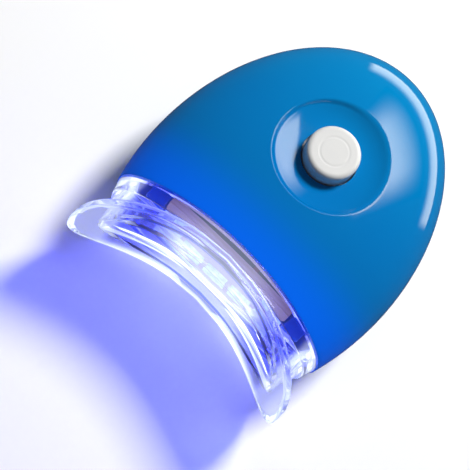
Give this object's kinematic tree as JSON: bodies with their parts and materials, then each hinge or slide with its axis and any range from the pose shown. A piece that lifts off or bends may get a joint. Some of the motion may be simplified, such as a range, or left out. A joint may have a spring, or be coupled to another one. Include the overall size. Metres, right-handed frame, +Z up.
{
  "type": "teeth whitening lamp",
  "caption": "Battery teeth whitening lamp: an egg-shaped housing with a press button in a dish, and a clear curved mouth shield with a pocket for a mouth tray.",
  "frame": {"origin": "on the surface the lamp stands on, below the middle of its bounding box", "axes": "+X across the lamp, +Y from the mouth shield to the rounded rear, +Z up out of the button"},
  "size_m": [0.0488, 0.0604, 0.026],
  "materials": {
    "housing_plastic": "glossy",
    "clear_acrylic": "polished clear",
    "button_plastic": "satin",
    "switch_plastic": "matt",
    "lamp_board_laminate": "matt",
    "green_laminate": "semi-gloss",
    "chip_resin": "matt",
    "cell_steel": "brushed",
    "contact_brass": "plain",
    "screw_steel": "plain",
    "lamp_lens": "glossy",
    "red_insulation": "satin",
    "black_insulation": "satin"
  },
  "bodies": {
    "housing": {"top_shell": "housing_plastic", "bottom_shell": "housing_plastic", "clear_mouth_shield": "clear_acrylic", "switch_body": "switch_plastic", "lamp_board": "lamp_board_laminate", "main_board": "green_laminate", "timer_chip": "chip_resin", "resistor_1": "chip_resin", "resistor_2": "chip_resin", "coin_cell_lower": "cell_steel", "coin_cell_upper": "cell_steel", "cell_leaf_contact": "contact_brass", "cell_side_contact": "contact_brass", "wire_red": "red_insulation", "wire_black": "black_insulation", "lamp_1": "lamp_lens", "lamp_2": "lamp_lens", "lamp_3": "lamp_lens", "lamp_4": "lamp_lens", "lamp_5": "lamp_lens", "shell_screw_1": "screw_steel", "shell_screw_2": "screw_steel", "shell_screw_3": "screw_steel", "board_screw_1": "screw_steel", "board_screw_2": "screw_steel"},
    "button": {"power_button": "button_plastic", "switch_plunger": "switch_plastic"},
    "cover": {"battery_cover": "housing_plastic"}
  },
  "joints": [
    {"name": "button_press", "type": "slide", "parent": "housing", "child": "button", "axis": [0, 0, -1], "range_m": [0, 0.0012], "stiffness_N_per_m": 900},
    {"name": "cover_twist", "type": "hinge", "parent": "housing", "child": "cover", "pos_m": [0, -0.00029, 0.0008], "axis": [0, 0, 1], "range_deg": [0, 40]}
  ]
}
